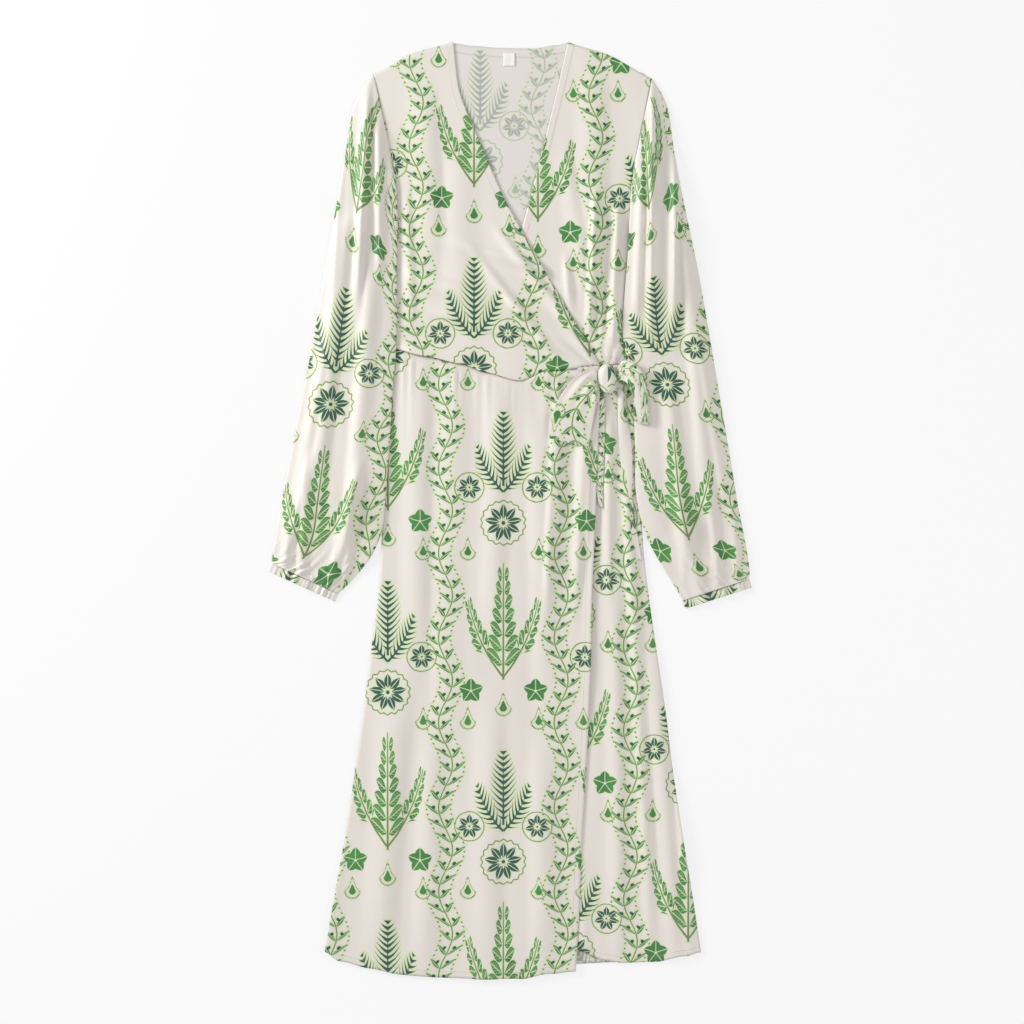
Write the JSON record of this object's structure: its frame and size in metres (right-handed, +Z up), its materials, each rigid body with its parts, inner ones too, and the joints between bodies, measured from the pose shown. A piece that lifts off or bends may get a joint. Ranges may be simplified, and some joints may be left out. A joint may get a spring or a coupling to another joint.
{
  "type": "wrap dress",
  "caption": "long-sleeved midi wrap dress in a botanical print, crossed V neck, waist seam, tie bow at the side and elastic cuffs, lying flat",
  "frame": {"origin": "middle of the dress's footprint, on the surface that it lies on", "axes": "+Y to the neck, +X to the viewer's right, +Z up off the surface, front of the dress up"},
  "size_m": [0.6277, 1.218, 0.016],
  "materials": {
    "printed_satin": "ivory satin viscose with a green botanical print, soft sheen",
    "tie_satin": "the same printed satin, folded double",
    "label_tape": "plain white woven tape, matt"
  },
  "bodies": {
    "root": {"back_bodice": "printed_satin", "back_skirt": "printed_satin", "front_bodice_under": "printed_satin", "front_bodice_over": "printed_satin", "front_skirt_under": "printed_satin", "front_skirt_over": "printed_satin", "sleeve_right": "printed_satin", "cuff_right": "printed_satin", "sleeve_left": "printed_satin", "cuff_left": "printed_satin", "tie_tail_left": "tie_satin", "tie_tail_right": "tie_satin", "tie_loop_left": "tie_satin", "tie_loop_right": "tie_satin", "tie_knot": "tie_satin", "size_label": "label_tape"}
  },
  "joints": []
}
